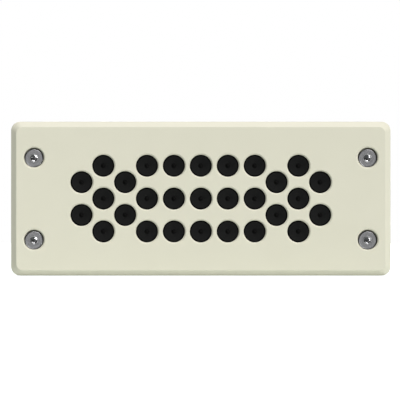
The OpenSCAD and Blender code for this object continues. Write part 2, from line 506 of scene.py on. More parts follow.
CREAM_TONES = (0.712, 0.687, 0.561, 1), (0.748, 0.721, 0.597, 1)
ELASTOMER_TONES = (0.0116, 0.0116, 0.0116, 1), (0.0148, 0.0148, 0.0146, 1)
# Painted shade: the near-black tone of the cups' rims, and half of it on the pips.
PAINTED_RIM_SHADE = (0.0014, 0.0014, 0.0012, 1)
cream_plastic = moulded_material(
    "cream_plastic", CREAM_TONES, roughness=0.52, specular=0.4, sizes=(2600, 60), bump=0.35
)
elastomer = {"tones": ELASTOMER_TONES, "roughness": 0.62, "sizes": (1800, 90), "bump": 0.4}
black_elastomer = moulded_material("black_elastomer", specular=0.3, **elastomer)
shade_painted_elastomer = moulded_material(
    "shade_painted_elastomer", specular=0.01, unmarked=PAINTED_RIM_SHADE, **elastomer
)
print("materials:", cream_plastic.name, black_elastomer.name, shade_painted_elastomer.name)

# %% [markdown]
# ## Finish of the screws
# The screws are zinc-plated steel. Their heads are faced on a lathe, which leaves fine rings round the
# axis of each one. All four are one mesh, so the rings need each screw's own middle. Folding the plate
# on its two middle planes with an absolute value lays the four middles on one point, and the distance
# from that point drives the rings.

# %% Distance from a screw's axis
def from_screw_axis(tree, place):
    """Distance of a place from the axis of its screw, in metres."""
    folds = (
        ("ABSOLUTE", None, "Vector"),
        ("SUBTRACT", (SCREW_X, 0, SCREW_Z), "Vector"),
        ("MULTIPLY", (1, 0, 1), "Vector"),
        ("LENGTH", None, "Value"),
    )
    for operation, other, output in folds:
        node = tree.nodes.new("ShaderNodeVectorMath")
        node.operation = operation
        feed(tree, place, node.inputs[0])
        if other:
            node.inputs[1].default_value = other
        place = node.outputs[output]
    return place


print("folded middle of the screws in mm:", round(SCREW_X / MM, 1), round(SCREW_Z / MM, 1))

# %% [markdown]
# The mark tells the places on a screw apart. Thread and neck have none and are bright. The walls of
# the socket and the face of the head are painted darker, a painted dark reflection and shade, which the
# rings streak. Past the mark of the face comes what the tool has burnished: the edge of the head and
# the round hollow in the socket's floor, smooth enough for clear glints, and painted darkest.

# %% Turned, plated steel
# Painted dark reflection and shade: the face of a head and the burnished places get nearly all of the
# dark tone, the socket part of it.
HEAD_MARK = 0.985
SOCKET_MARK = 0.4
BRIGHT_TONES = (0.32, 0.32, 0.32, 1), (0.42, 0.42, 0.42, 1)
PAINTED_DARK_TONE = (0.077, 0.077, 0.079, 1)
RINGS_PER_METRE = 1700
RING_DETAIL = 2
STAINS_PER_METRE = 700
STAIN_DETAIL = 3
STREAK = (1.06, 0.94)
RING_RANGE = (0.3, 0.7)
CUT_ROUGHNESS = (0.5, 0.7)
CUT_RELIEF = (0.5, 0.05)
BURNISHED = -0.42


def turned_steel_material():
    material, tree, shader = new_material("plated_steel")
    shader["Metallic"].default_value = 1.0
    place = tree.nodes.new("ShaderNodeTexCoord").outputs["Object"]
    rings = noise(tree, from_screw_axis(tree, place), RINGS_PER_METRE, RING_DETAIL, "1D")
    bright = blended(tree, noise(tree, place, STAINS_PER_METRE, STAIN_DETAIL), *BRIGHT_TONES)
    mark = mark_of(tree)
    streaks = rescaled(tree, rings, *STREAK, *RING_RANGE)
    # The share of the painted dark tone at each place, streaked by the rings.
    painted_dark = calculated(tree, "MULTIPLY", mark, streaks)
    polish = rescaled(tree, mark, 0, 1, HEAD_MARK, 1)
    as_cut = rescaled(tree, rings, *CUT_ROUGHNESS)
    gloss = calculated(tree, "MULTIPLY_ADD", polish, BURNISHED, as_cut)
    feed(tree, blended(tree, painted_dark, bright, PAINTED_DARK_TONE), shader["Base Color"])
    feed(tree, gloss, shader["Roughness"])
    feed(tree, relief(tree, rings, rescaled(tree, polish, *CUT_RELIEF)), shader["Normal"])
    return material


plated_steel = turned_steel_material()
print("material:", plated_steel.name)

# %% [markdown]
# ## One tree that sets a shape in many places
# The holes, the membranes and the screws are each one shape in many places. Copying meshes in Python
# would work, but a Geometry Nodes tree says it better: instance one shape on points, make the copies
# real, weld them to the piece that they belong to and give everything its material.

# %% Start and end of a geometry tree
def new_geometry_tree(name, sockets):
    """A tree with one geometry output, and the outputs of its input node."""
    tree = bpy.data.node_groups.new(name, "GeometryNodeTree")
    for socket, kind in sockets:
        tree.interface.new_socket(socket, in_out="INPUT", socket_type="NodeSocket" + kind)
    tree.interface.new_socket("Geometry", in_out="OUTPUT", socket_type="NodeSocketGeometry")
    return tree, tree.nodes.new("NodeGroupInput").outputs


def end_tree(tree, size, *parts):
    """Joins the parts, makes copies real, welds them and sets the material."""
    together = tree.nodes.new("GeometryNodeJoinGeometry")
    real = tree.nodes.new("GeometryNodeRealizeInstances")
    weld = tree.nodes.new("GeometryNodeMergeByDistance")
    paint = tree.nodes.new("GeometryNodeSetMaterial")
    outside = tree.nodes.new("NodeGroupOutput")
    for part in parts:
        feed(tree, part, together.inputs["Geometry"])
    feed(tree, size["Weld"], weld.inputs["Distance"])
    feed(tree, size["Material"], paint.inputs["Material"])
    chain = (together, real, weld, paint, outside)
    for before, after in zip(chain, chain[1:]):
        feed(tree, before.outputs["Geometry"], after.inputs["Geometry"])


print("tree helpers:", new_geometry_tree.__name__, end_tree.__name__)

# %% [markdown]
# This tree reads two helper objects: one of bare points and one with the shape. Its result is the
# piece's own mesh and the copies, welded wherever their rings meet.

# %% Geometry Nodes tree: set in places
def set_in_places_tree():
    sockets = ("Geometry", "Geometry"), ("Places", "Object"), ("Shape", "Object")
    ends = ("Weld", "Float"), ("Material", "Material")
    tree, size = new_geometry_tree("set_in_places", sockets + ends)
    places = tree.nodes.new("GeometryNodeObjectInfo")
    shape = tree.nodes.new("GeometryNodeObjectInfo")
    copies = tree.nodes.new("GeometryNodeInstanceOnPoints")
    feed(tree, size["Places"], places.inputs["Object"])
    feed(tree, size["Shape"], shape.inputs["Object"])
    feed(tree, places.outputs["Geometry"], copies.inputs["Points"])
    feed(tree, shape.outputs["Geometry"], copies.inputs["Instance"])
    end_tree(tree, size, copies.outputs["Instances"], size["Geometry"])
    return tree


set_in_places = set_in_places_tree()
print("geometry tree:", set_in_places.name, "with", len(set_in_places.nodes), "nodes")

# %% [markdown]
# A tree's inputs are set by their identifiers, because names may repeat. The result is then turned
# into the piece's own plain mesh and raised to its place. Its faces are made to point outwards, and
# only edges sharper than a rounding's steps stay sharp.

# %% Use a tree and settle a piece
WELD = 0.002 * MM
SHARP_ANGLE = math.radians(38)


def use_tree(piece, tree, **values):
    """Adds a Geometry Nodes modifier with the tree's inputs set by name."""
    modifier = piece.modifiers.new(tree.name, "NODES")
    modifier.node_group = tree
    for item in tree.interface.items_tree:
        if item.in_out == "INPUT" and item.name in values:
            modifier[item.identifier] = values[item.name]


def set_shape(piece, shape, places, material):
    use_tree(piece, set_in_places, Places=places, Shape=shape, Weld=WELD, Material=material)


def settle(piece, raised=0):
    """Makes the modifiers' result the piece's own mesh, closed, facing outwards and shaded smooth."""
    graph = bpy.context.evaluated_depsgraph_get()
    piece_mesh = bpy.data.meshes.new_from_object(piece.evaluated_get(graph))
    piece.modifiers.clear()
    piece.data = piece_mesh
    mesh = bmesh.new()
    mesh.from_mesh(piece_mesh)
    bmesh.ops.translate(mesh, vec=(0, 0, raised), verts=mesh.verts)
    bmesh.ops.recalc_face_normals(mesh, faces=mesh.faces)
    open_edges = sum(not edge.is_manifold for edge in mesh.edges)
    mesh.to_mesh(piece_mesh)
    mesh.free()
    piece_mesh.shade_smooth()
    piece_mesh.set_sharp_from_angle(angle=SHARP_ANGLE)
    print(piece.name, "has", len(piece_mesh.polygons), "faces and", open_edges, "open edges")


print("points closer than", WELD / MM, "mm are welded")

# %% [markdown]
# A shape gets its marks before a tree sets it in its places, by a rule of radius and depth. Objects
# that only gave a tree its shapes or places are put away once the piece is settled.

# %% Marks, and putting helpers away
def put_mark(piece, rule):
    """Keeps rule(radius, depth) as the mark of each point of a shape that lies round the y axis."""
    marks = piece.data.attributes.new("mark", "FLOAT", "POINT")
    for point, mark in zip(piece.data.vertices, marks.data):
        x, y, z = point.co
        mark.value = rule(math.hypot(x, z), y)


def marks_of(piece):
    return [mark.value for mark in piece.data.attributes["mark"].data]


def put_away(*helpers):
    """Removes objects that were only shapes or places for a tree."""
    for helper in helpers:
        bpy.data.objects.remove(helper)


print("piece helpers:", [helper.__name__ for helper in (put_mark, marks_of, put_away)])

# %% [markdown]
# ## The frame: outer shell
# The outside is one section line swept round the plate: back edge, side wall, a wide 45 degree bevel
# and the front face. The corner radius shrinks a little across the bevel, as it does on the plate.

# %% Outer shell of the frame
BACK_EDGE_R = 0.3 * MM
BEVEL_EDGE_R = 0.3 * MM
EDGE_RING = 1.0 * MM


def shell_corner_r(inset, depth):
    """Corner radius of the shell's outline, in the back half and across the bevel."""
    if depth > (FRONT + BACK) / 2:
        return CORNER_R - inset
    share = min(inset / FRONT_BEVEL, 1)
    return CORNER_R + (FACE_CORNER_R - CORNER_R) * share - max(inset - FRONT_BEVEL, 0)


def shell_ring(mesh, inset, depth):
    size = (PLATE[0] - 2 * inset, PLATE[1] - 2 * inset)
    return ring(mesh, rounded_outline(size, shell_corner_r(inset, depth)), depth)


shell_section = softened(
    [
        (EDGE_RING, BACK),
        (0, BACK),
        (0, FRONT + FRONT_BEVEL),
        (FRONT_BEVEL, FRONT),
        (FRONT_BEVEL + EDGE_RING / 2, FRONT),
    ],
    [BACK_EDGE_R, BEVEL_EDGE_R, BEVEL_EDGE_R],
)
frame_mesh = bmesh.new()
shell = [shell_ring(frame_mesh, inset, depth) for inset, depth in shell_section]
skin(frame_mesh, shell)
print("shell rings:", len(shell))

# %% [markdown]
# ## The frame: recess for the mat
# Behind the front wall the frame is hollowed out in two steps: a tray for the mat and a shallow seat
# for its sealing flange. Every outline here is the cut-out's, grown by some distance.

# %% Recess for the mat
RECESS_EDGE_R = 0.25 * MM


def grown_outline(by):
    size = (SPACE[0] + 2 * by, SPACE[1] + 2 * by)
    return rounded_outline(size, SPACE_CORNER_R + by)


tray_by = TRAY_WALL + MAT_GAP
seat_by = FLANGE_REACH + MAT_GAP
recess_section = softened(
    [
        (tray_by, WALL_BACK),
        (tray_by, FLANGE_FRONT),
        (seat_by, FLANGE_FRONT),
        (seat_by, BACK),
        (seat_by + EDGE_RING / 2, BACK),
    ],
    [RECESS_EDGE_R, 0, RECESS_EDGE_R],
)
recess = [ring(frame_mesh, grown_outline(by), depth) for by, depth in recess_section]
skin(frame_mesh, recess)
print("recess rings:", len(recess))

# %% [markdown]
# ## The frame: cored back
# Thick plastic sinks as it cools, so the back is cored out round the seat and stiffened with ribs.
# What stays is a rim outside, a ridge round the seat, the ribs and a boss round each screw, which a web
# ties to the rim.

# %% Sizes of the cored back
RIM_WALL = 2.4 * MM
SEAT_RIDGE = 1.8 * MM
RIB_T = 1.6 * MM
RIB_PITCH = 22 * MM
RIBS_A_SIDE = 2
BOSS_WALL = 2.0 * MM
BOSS_WEB = 6.0 * MM
BOSS_R = COUNTERBORE_R + BOSS_WALL
web_turn = math.degrees(math.asin(BOSS_WEB / 2 / BOSS_R))
rim_x, rim_z = PLATE[0] / 2 - RIM_WALL, PLATE[1] / 2 - RIM_WALL
rim_r = CORNER_R - RIM_WALL
ridge_by = seat_by + SEAT_RIDGE
ridge_x, ridge_z = SPACE[0] / 2 + ridge_by, SPACE[1] / 2 + ridge_by
ridge_r = SPACE_CORNER_R + ridge_by
print("channel between ridge and rim in mm:", round((rim_z - ridge_z) / MM, 2))

# %% [markdown]
# Each cell is an outline of lines and arcs: plain ones between the ribs, one round each corner past
# the screw boss, and two at each end between the bosses. One quarter is drawn and then mirrored. The
# corner cell turns from the ridge's arc to the boss's where the two circles cross.

# %% Outlines of the cored cells
def corner_cell():
    """Cell round one corner: from the last rib along the ridge, over the boss, back along the rim."""
    last_rib = RIBS_A_SIDE * RIB_PITCH + RIB_T / 2
    ridge_c = (ridge_x - ridge_r, ridge_z - ridge_r)
    boss_c = (SCREW_X, SCREW_Z)
    apart = math.dist(ridge_c, boss_c)
    to_cross = math.acos((ridge_r**2 + apart**2 - BOSS_R**2) / (2 * ridge_r * apart))
    ridge_turn = angle_of(ridge_c, boss_c) + to_cross
    cross = along(ridge_c, (math.cos(ridge_turn), math.sin(ridge_turn)), ridge_r)
    boss_turn = angle_of(boss_c, cross)
    return (
        [(last_rib, ridge_z)]
        + arc_points(ridge_c, ridge_r, 90, math.degrees(ridge_turn))
        + arc_points(boss_c, BOSS_R, math.degrees(boss_turn), web_turn)[1:]
        + [(rim_x, SCREW_Z + BOSS_WEB / 2)]
        + arc_points((rim_x - rim_r, rim_z - rim_r), rim_r, 0, 90)
        + [(last_rib, rim_z)]
    )


def end_cell():
    """Cell at one end, between the middle rib and the lower side of a boss."""
    ridge_turn = math.degrees(math.acos((ridge_x - SCREW_X) / BOSS_R))
    return (
        [(ridge_x, RIB_T / 2), (rim_x, RIB_T / 2), (rim_x, SCREW_Z - BOSS_WEB / 2)]
        + arc_points((SCREW_X, SCREW_Z), BOSS_R, -web_turn, -ridge_turn)
    )


def rib_cells():
    """Plain cells above the seat, between neighbouring ribs."""
    starts = [k * RIB_PITCH + RIB_T / 2 for k in range(-RIBS_A_SIDE, RIBS_A_SIDE)]
    ends = [start + RIB_PITCH - RIB_T for start in starts]
    return [[(a, ridge_z), (b, ridge_z), (b, rim_z), (a, rim_z)] for a, b in zip(starts, ends)]


def mirrored(outline, sx, sz):
    """The outline in another quarter, still drawn anticlockwise."""
    flipped = [(sx * x, sz * z) for x, z in outline]
    return flipped if sx * sz > 0 else flipped[::-1]


cells = [mirrored(cell, sx, sz) for cell in (corner_cell(), end_cell()) for sx, sz in QUARTERS]
cells += [mirrored(cell, 1, sz) for cell in rib_cells() for sz in (-1, 1)]
print("cored cells:", len(cells))

# %% [markdown]
# A cell's mouth is rounded like the other edges. That needs the same outline a little larger, so each
# point moves out along the corner's bisector by just the right amount.

# %% Cored cells
CELL_EDGE_R = 0.2 * MM
CELL_RING = 0.5 * MM


def outset(outline, by):
    """The outline grown by a distance, for points that run anticlockwise or clockwise."""
    area = sum(a[0] * b[1] - b[0] * a[1] for a, b in neighbours(outline))
    by = by if area > 0 else -by
    moved = []
    for before, at, after in zip(outline[-1:] + outline[:-1], outline, outline[1:] + outline[:1]):
        into = direction(before, at)
        out_of = direction(at, after)
        first = (into[1], -into[0])
        second = (out_of[1], -out_of[0])
        scale = by / (1 + dot(first, second))
        moved.append((at[0] + (first[0] + second[0]) * scale, at[1] + (first[1] + second[1]) * scale))
    return moved


cell_section = softened([(CELL_RING, BACK), (0, BACK), (0, WALL_BACK)], [CELL_EDGE_R])
cell_mouths = []
for cell in cells:
    rings = [ring(frame_mesh, outset(cell, by), depth) for by, depth in cell_section]
    skin(frame_mesh, rings)
    flat(frame_mesh, rings[-1])
    cell_mouths.append(rings[0])
print("cell mouths:", len(cell_mouths))

# %% [markdown]
# ## The frame: holes
# A hole has a bevelled front edge and a straight wall. It is turned once, from the ring where it meets
# the front face to the ring where it meets the back of the wall. The counterbore of a screw goes on
# to a floor and a smaller hole.

# %% Linings of the holes and counterbores
BREAK_EDGE_R = 0.12 * MM
THREAD_HOLE_EDGE_R = 0.1 * MM
HOLE_RING = 1.4 * HOLE_BREAK
COUNTERBORE_RING = 1.6 * HOLE_BREAK
WALL_RING = 0.4 * MM
hole_section = softened(
    [
        (HOLE_R + HOLE_RING, FRONT),
        (HOLE_R + HOLE_BREAK, FRONT),
        (HOLE_R, FRONT + HOLE_BREAK),
        (HOLE_R, WALL_BACK),
        (HOLE_R + WALL_RING, WALL_BACK),
    ],
    [BREAK_EDGE_R, BREAK_EDGE_R, 0],
)
counterbore_section = softened(
    [
        (COUNTERBORE_R + COUNTERBORE_RING, FRONT),
        (COUNTERBORE_R + HOLE_BREAK, FRONT),
        (COUNTERBORE_R, FRONT + HOLE_BREAK),
        (COUNTERBORE_R, HEAD_SEAT),
        (THREAD_HOLE_R, HEAD_SEAT),
        (THREAD_HOLE_R, BACK),
        (THREAD_HOLE_R + HOLE_BREAK, BACK),
    ],
    [BREAK_EDGE_R, BREAK_EDGE_R, 0, THREAD_HOLE_EDGE_R, THREAD_HOLE_EDGE_R],
)
hole_lining = turned_piece("hole_lining", hole_section)
counterbore_lining = turned_piece("counterbore_lining", counterbore_section)
print("lining faces:", len(hole_lining.data.polygons), len(counterbore_lining.data.polygons))

# %% [markdown]
# Three flats are left: the front face, the back of the front wall and the rear face. Each is filled
# from its outer ring, with a ring left open wherever a hole or a cell begins. The tree sets the
# linings into those rings, and the weld makes one closed skin of it all.

# %% Flats of the frame, and the whole piece
def rings_at(mesh, places, radius, depth):
    return [ring(mesh, circle_outline(place, radius), depth) for place in places]


front_holes = rings_at(frame_mesh, HOLE_PLACES, hole_section[0][0], FRONT)
front_holes += rings_at(frame_mesh, SCREW_PLACES, counterbore_section[0][0], FRONT)
wall_holes = rings_at(frame_mesh, HOLE_PLACES, hole_section[-1][0], WALL_BACK)
back_holes = rings_at(frame_mesh, SCREW_PLACES, counterbore_section[-1][0], BACK)
flat(frame_mesh, shell[-1], *front_holes)
flat(frame_mesh, recess[0], *wall_holes)
flat(frame_mesh, shell[0], recess[-1], *cell_mouths, *back_holes)
frame_piece = new_piece("frame_plate_moulding", frame_mesh)
set_shape(frame_piece, hole_lining, hole_points, cream_plastic)
set_shape(frame_piece, counterbore_lining, screw_points, cream_plastic)
settle(frame_piece, RAISED)
put_away(hole_lining, counterbore_lining)

# %% [markdown]
# ## The mat: sheet, flange and bead
# The mat is one soft moulding. Its tray lies against the front wall, its flange in the seat, and a
# half-round bead on the flange stands proud of the back face, where the panel squeezes it. The section
# runs from the tray's front round the flange and into the space behind the membranes.

# %% Sheet of the mat
MAT_EDGE_R = 0.4 * MM
BEAD_STEPS = 10
bead_by = (TRAY_WALL + FLANGE_REACH) / 2
outer_line = softened(
    [
        (TRAY_WALL - EDGE_RING, WALL_BACK),
        (TRAY_WALL, WALL_BACK),
        (TRAY_WALL, FLANGE_FRONT),
        (FLANGE_REACH, FLANGE_FRONT),
        (FLANGE_REACH, BACK),
        (bead_by + BEAD_R, BACK),
    ],
    [MAT_EDGE_R, 0, MAT_EDGE_R, MAT_EDGE_R],
)
bead_turns = [math.pi * k / BEAD_STEPS for k in range(1, BEAD_STEPS)]
bead_line = on_circle((bead_by, BACK), BEAD_R, bead_turns)
inner_line = softened(
    [(bead_by - BEAD_R, BACK), (0, BACK), (0, SPACE_FRONT), (-EDGE_RING, SPACE_FRONT)],
    [MAT_EDGE_R, MAT_EDGE_R],
)
mat_section = outer_line + bead_line + inner_line
mat_mesh = bmesh.new()
mat_rings = [ring(mat_mesh, grown_outline(by), depth) for by, depth in mat_section]
skin(mat_mesh, mat_rings)
print("mat rings:", len(mat_rings))

# %% [markdown]
# ## The mat: membranes
# Each hole is filled by a cup whose end is a thin membrane: a flat lip, a shallow funnel and a small
# pip in the middle, where the cable's end is set before it is pushed through. The same membrane seen
# from behind is a pocket. Both skins are turned from sections.

# %% Membranes of the mat
CUP_RING = 0.1 * MM
LIP_EDGE_R = 0.15 * MM
FUNNEL_EDGE_R = 0.3 * MM
PIP_FOOT_R = 0.2 * MM
PIP_EDGE_R = 0.15 * MM
POCKET_RING = 0.4 * MM
POCKET_MOUTH_R = 0.25 * MM
POCKET_FLOOR_R = 0.2 * MM
funnel_floor = CUP_FRONT + FUNNEL_DEPTH
pip_top = funnel_floor - PIP_H
pocket_floor = funnel_floor + MEMBRANE_T
pocket_edge = CUP_FRONT + (LIP_R - POCKET_R) * FUNNEL_DEPTH / (LIP_R - PIP_R) + MEMBRANE_T
cup_section = softened(
    [
        (CUP_R + CUP_RING, WALL_BACK),
        (CUP_R, WALL_BACK),
        (CUP_R, CUP_FRONT),
        (LIP_R, CUP_FRONT),
        (PIP_R, funnel_floor),
        (PIP_TOP_R, pip_top),
        (0, pip_top),
    ],
    [0, LIP_EDGE_R, FUNNEL_EDGE_R, PIP_FOOT_R, PIP_EDGE_R],
)
pocket_section = softened(
    [
        (POCKET_R + POCKET_RING, SPACE_FRONT),
        (POCKET_R, SPACE_FRONT),
        (POCKET_R, pocket_edge),
        (PIP_R, pocket_floor),
        (0, pocket_floor),
    ],
    [POCKET_MOUTH_R, POCKET_FLOOR_R, POCKET_FLOOR_R],
)
cup = turned_piece("cup", cup_section)
pocket = turned_piece("pocket", pocket_section)
print("membrane faces:", len(cup.data.polygons), "in front and", len(pocket.data.polygons), "behind")

# %% [markdown]
# Before they are set, the shapes get their marks: none at the rim of a cup, which is painted shade,
# full on the funnel, which keeps the rubber's tone, half on the pip, which is half painted shade, and a
# mark of its own for bare rubber. The tree carries marks along with the points.

# %% Marks of the mat, and the whole piece
PIP_SHADE_MARK = 0.5
BARE_MARK = 2.0


# Mark 0 is the painted shade of the rim, 1 the rubber's own tone, and the pip's mark half the shade.
def cup_mark(radius, depth):
    if radius > LIP_R:
        return 0.0
    return PIP_SHADE_MARK if radius < PIP_R else 1.0


def bare_mark(radius, depth):
    return BARE_MARK


cup_holes = rings_at(mat_mesh, HOLE_PLACES, cup_section[0][0], WALL_BACK)
pocket_holes = rings_at(mat_mesh, HOLE_PLACES, pocket_section[0][0], SPACE_FRONT)
flat(mat_mesh, mat_rings[0], *cup_holes)
flat(mat_mesh, mat_rings[-1], *pocket_holes)
mat_piece = new_piece("membrane_mat_moulding", mat_mesh)
for shape, rule in ((cup, cup_mark), (pocket, bare_mark), (mat_piece, bare_mark)):
    put_mark(shape, rule)
for shape in (cup, pocket):
    set_shape(mat_piece, shape, hole_points, shade_painted_elastomer)
settle(mat_piece, RAISED)
put_away(cup, pocket, hole_points)

# %% [markdown]
# ## The mat: bare rubber
# The tree gives the whole mat one material, the one with the painted shade. Only the cups keep it:
# faces that carry the mark of bare rubber at all their points get the plain elastomer.

# %% Bare rubber behind the membranes
def repaint(piece, material, least_mark):
    """Gives another material to the faces whose points all have at least this mark."""
    piece.data.materials.append(material)
    marks = marks_of(piece)
    faces = [
        face for face in piece.data.polygons if min(marks[v] for v in face.vertices) >= least_mark
    ]
    for face in faces:
        face.material_index = len(piece.data.materials) - 1
    print(len(faces), "faces of", piece.name, "are", material.name)


repaint(mat_piece, black_elastomer, BARE_MARK)

# %% [markdown]
# ## The screws: head and socket
# A socket-head screw is pressed from wire, its hexagon is punched over a round hollow, its head is
# faced and its thread is rolled. Head, neck and tip are turned sections. The socket is a hexagon with
# slightly soft corners, and the hollow in its floor is a part of a ball, which mirrors every lamp as
# a small glint.

# %% Head, neck and tip of a screw
SCREW_AROUND = 48
HEAD_EDGE = (0.3 * MM, 0.15 * MM)
HEAD_EDGE_R = 0.1 * MM
NECK_FILLET_R = 0.2 * MM
FACE_RING = 0.9 * MM
TIP_TAPER = 0.6 * MM
TIP_R = THREAD_R - TIP_TAPER
head_section = softened(
    [
        (SOCKET_AF / 2 + FACE_RING, HEAD_FRONT),
        (HEAD_R - HEAD_EDGE[0], HEAD_FRONT),
        (HEAD_R, HEAD_FRONT + HEAD_EDGE[1]),
        (HEAD_R, HEAD_SEAT),
        (NECK_R, HEAD_SEAT),
        (NECK_R, BACK),
    ],
    [HEAD_EDGE_R, HEAD_EDGE_R, HEAD_EDGE_R, NECK_FILLET_R],
)
tip_section = [(TIP_R, SCREW_TIP), (TIP_R / 2, SCREW_TIP), (0, SCREW_TIP)]
screw_mesh = bmesh.new()
head = turned(screw_mesh, head_section, SCREW_AROUND)
turned(screw_mesh, tip_section, SCREW_AROUND)
print("rings of the head and neck:", len(head))

# %% [markdown]
# The socket starts with a small bevel at its mouth. Its floor is the flat between the hexagon and the
# rim of the hollow.

# %% Hollow and section of the socket
SOCKET_MOUTH = 0.12 * MM
SOCKET_LEDGE = 0.2 * MM
HOLLOW_R = SOCKET_AF / 2 - SOCKET_LEDGE
HOLLOW_TURN = math.radians(26)
HOLLOW_STEPS = 8
socket_floor = HEAD_FRONT + SOCKET_DEPTH
ball_r = HOLLOW_R / math.sin(HOLLOW_TURN)
ball_middle = socket_floor - ball_r * math.cos(HOLLOW_TURN)
hollow_turns = [HOLLOW_TURN * k / HOLLOW_STEPS for k in range(HOLLOW_STEPS, -1, -1)]
hollow_section = [(HOLLOW_R + HOLD, socket_floor)]
hollow_section += [(ball_r * math.sin(a), ball_middle + ball_r * math.cos(a)) for a in hollow_turns]
socket_line = [
    (2 * SOCKET_MOUTH, HEAD_FRONT),
    (0, HEAD_FRONT + SOCKET_MOUTH),
    (0, HEAD_FRONT + SOCKET_MOUTH + HOLD),
    (0, socket_floor),
]
print("the hollow is a part of a ball of", round(ball_r / MM, 2), "mm radius")

# %% [markdown]
# A worn punch leaves the corners of the hexagon slightly soft, so three points stand for each corner:
# one a little short of it and one on either side. The socket is then skinned ring by ring, and two
# flats join it to the face of the head and to the rim of the hollow.

# %% Socket of a screw
HEX_SOFT = (0.06 * MM, 0.02 * MM)


def unit_at(degrees):
    return math.cos(math.radians(degrees)), math.sin(math.radians(degrees))


def hexagon(across_flats):
    """A hexagon with a corner straight up and slightly rounded corners."""
    reach = across_flats / 2 / math.cos(math.radians(30))
    outline = []
    for turn in range(90, 450, 60):
        corner = along((0, 0), unit_at(turn), reach)
        for side in (-1, 0, 1):
            distance = HEX_SOFT[0] if side else -HEX_SOFT[1]
            outline.append(along(corner, unit_at(turn + 120 * side), distance))
    return outline


hollow = turned(screw_mesh, hollow_section, SCREW_AROUND)
socket = [ring(screw_mesh, hexagon(SOCKET_AF + wider), depth) for wider, depth in socket_line]
skin(screw_mesh, socket)
flat(screw_mesh, head[0], socket[0])
flat(screw_mesh, socket[-1], hollow[0])
screw_shape = new_piece("screw_shape", screw_mesh)
print("screw body faces:", len(screw_shape.data.polygons))

# %% [markdown]
# The marks follow the finish and the painted dark tone: the highest for burnished places, a little
# less on the face, less again in the socket, and none on the neck and the thread.

# %% Marks of a screw
def screw_mark(radius, depth):
    at_edge = radius > HEAD_R - HEAD_EDGE[0] + HOLD and depth < HEAD_FRONT + 2 * HEAD_EDGE[1]
    in_hollow = radius < HOLLOW_R + HOLD / 2 and socket_floor - HOLD < depth < HEAD_SEAT
    if at_edge or in_hollow:
        return 1.0
    if depth < HEAD_FRONT + HOLD:
        return HEAD_MARK
    in_socket = radius < THREAD_R and depth < socket_floor + HOLD
    return SOCKET_MARK if in_socket else 0.0


put_mark(screw_shape, screw_mark)
marks = marks_of(screw_shape)
print("burnished points of a screw:", marks.count(1.0), "of", len(marks))

# %% [markdown]
# ## The screws: rolled thread
# A thread could be a small triangle swept along a helix, but where it starts and ends such a sweep
# pokes through. Here a flat grid is rolled into a tube instead, and the tube's radius follows the
# thread's own rule: it rises and falls once per pitch, and the phase turns with the angle. At the neck
# the ridges run out, and at the tip a cone cuts them back.

# %% Rule of the thread
ROOT_SHARE = 0.25
FLANK_SHARE = 0.625


def thread_radius(tree, size, turn, run):
    """Radius of the tube after a share of a turn and a run along the axis."""

    def work(operation, *values, clamp=False):
        return calculated(tree, operation, *values, clamp=clamp)

    phase = work("FRACT", work("SUBTRACT", work("DIVIDE", run, size["Pitch"]), turn))
    wave = work("SUBTRACT", 1, work("ABSOLUTE", work("MULTIPLY_ADD", phase, 2, -1)))
    ridge = work("DIVIDE", work("SUBTRACT", wave, ROOT_SHARE), FLANK_SHARE, clamp=True)
    tall = work("SUBTRACT", size["Crest"], size["Root"])
    cut = work("MULTIPLY_ADD", ridge, tall, size["Root"])
    grows = work("DIVIDE", run, size["Pitch"], clamp=True)
    ran_out = work("MULTIPLY_ADD", work("SUBTRACT", cut, size["Neck"]), grows, size["Neck"])
    cone = work("ADD", size["Tip"], work("SUBTRACT", size["Length"], run))
    return work("MINIMUM", ran_out, cone)


print("a ridge takes", round(1 - ROOT_SHARE, 2), "of the pitch")

# %% [markdown]
# The grid's own map gives each point its share of a turn and of the length. Rolling is then one new
# position for each point, and the weld closes the seam and joins the tube to the neck and the tip.

# %% Geometry Nodes tree: rolled thread
def rolled_thread_tree():
    lengths = ("Start", "Length", "Pitch", "Crest", "Root", "Neck", "Tip", "Weld")
    sockets = [("Geometry", "Geometry"), ("Around", "Int"), ("Rows", "Int")]
    sockets += [(name, "Float") for name in lengths] + [("Material", "Material")]
    tree, size = new_geometry_tree("rolled_thread", sockets)
    grid = tree.nodes.new("GeometryNodeMeshGrid")
    for count, socket in (("Around", "Vertices X"), ("Rows", "Vertices Y")):
        feed(tree, calculated(tree, "ADD", size[count], 1), grid.inputs[socket])
    share = tree.nodes.new("ShaderNodeSeparateXYZ")
    feed(tree, grid.outputs["UV Map"], share.inputs["Vector"])
    turn = share.outputs["X"]
    run = calculated(tree, "MULTIPLY", share.outputs["Y"], size["Length"])
    radius = thread_radius(tree, size, turn, run)
    angle = calculated(tree, "MULTIPLY", turn, 2 * math.pi)
    place = tree.nodes.new("ShaderNodeCombineXYZ")
    for operation, socket in (("COSINE", "X"), ("SINE", "Z")):
        part = calculated(tree, "MULTIPLY", radius, calculated(tree, operation, angle))
        feed(tree, part, place.inputs[socket])
    feed(tree, calculated(tree, "ADD", run, size["Start"]), place.inputs["Y"])
    rolled = tree.nodes.new("GeometryNodeSetPosition")
    feed(tree, grid.outputs["Mesh"], rolled.inputs["Geometry"])
    feed(tree, place.outputs["Vector"], rolled.inputs["Position"])
    end_tree(tree, size, rolled.outputs["Geometry"], size["Geometry"])
    return tree


rolled_thread = rolled_thread_tree()
print("geometry tree:", rolled_thread.name, "with", len(rolled_thread.nodes), "nodes")

# %% [markdown]
# One screw gets its thread and is settled. The other tree then sets it in the four places. The screws
# aren't raised as the plate is, because the origin lies between them.

